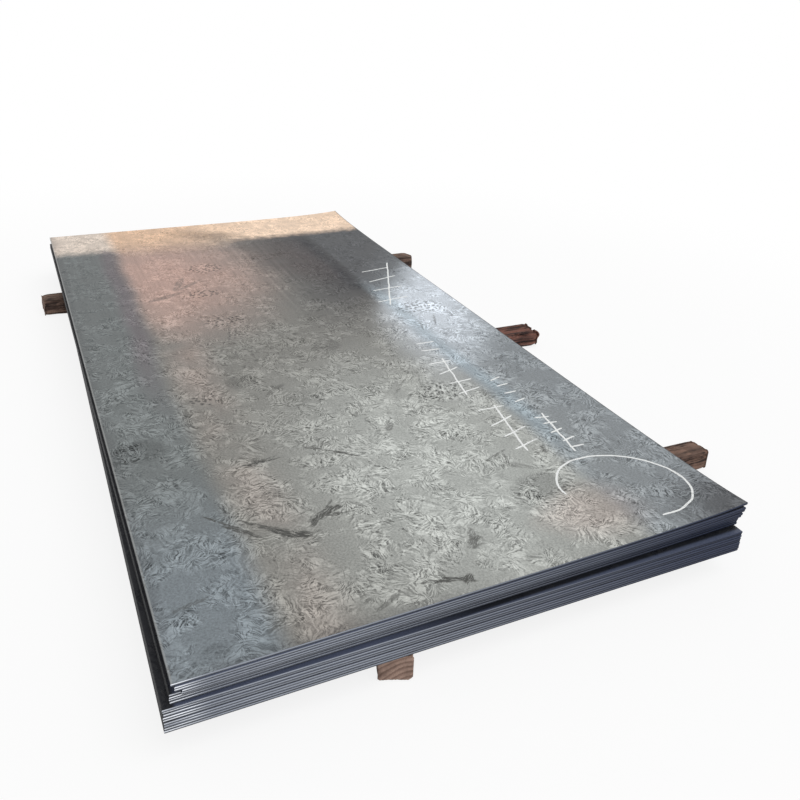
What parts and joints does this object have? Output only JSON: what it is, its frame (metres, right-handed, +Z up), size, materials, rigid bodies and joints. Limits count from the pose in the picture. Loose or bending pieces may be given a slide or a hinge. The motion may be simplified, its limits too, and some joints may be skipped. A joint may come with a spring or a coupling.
{
  "type": "steel plate stack",
  "caption": "Stack of hot-rolled steel plates with sheared edges, lying in two packs on timber bearers that leave room for forks or slings.",
  "frame": {"origin": "on the ground under the middle of the top plate, on the underside of the mid bearer", "axes": "+X across the plates to the right, +Y along the plates from front to back, +Z up"},
  "size_m": [1.6061, 2.5216, 0.168],
  "materials": {
    "steel": "scuffed grey mill scale, bright sheared edges",
    "timber": "weathered, rough sawn and split"
  },
  "bodies": {
    "root": {"top_plate": "steel", "plate_02": "steel", "plate_03": "steel", "plate_04": "steel", "plate_05": "steel", "plate_06": "steel", "plate_07": "steel", "plate_08": "steel", "plate_09": "steel", "plate_10": "steel", "plate_11": "steel", "plate_12": "steel", "plate_13": "steel", "plate_14": "steel", "plate_15": "steel", "plate_16": "steel", "plate_17": "steel", "plate_18": "steel", "far_bearer": "timber", "mid_bearer": "timber", "near_bearer": "timber", "front_block": "timber"}
  },
  "joints": []
}
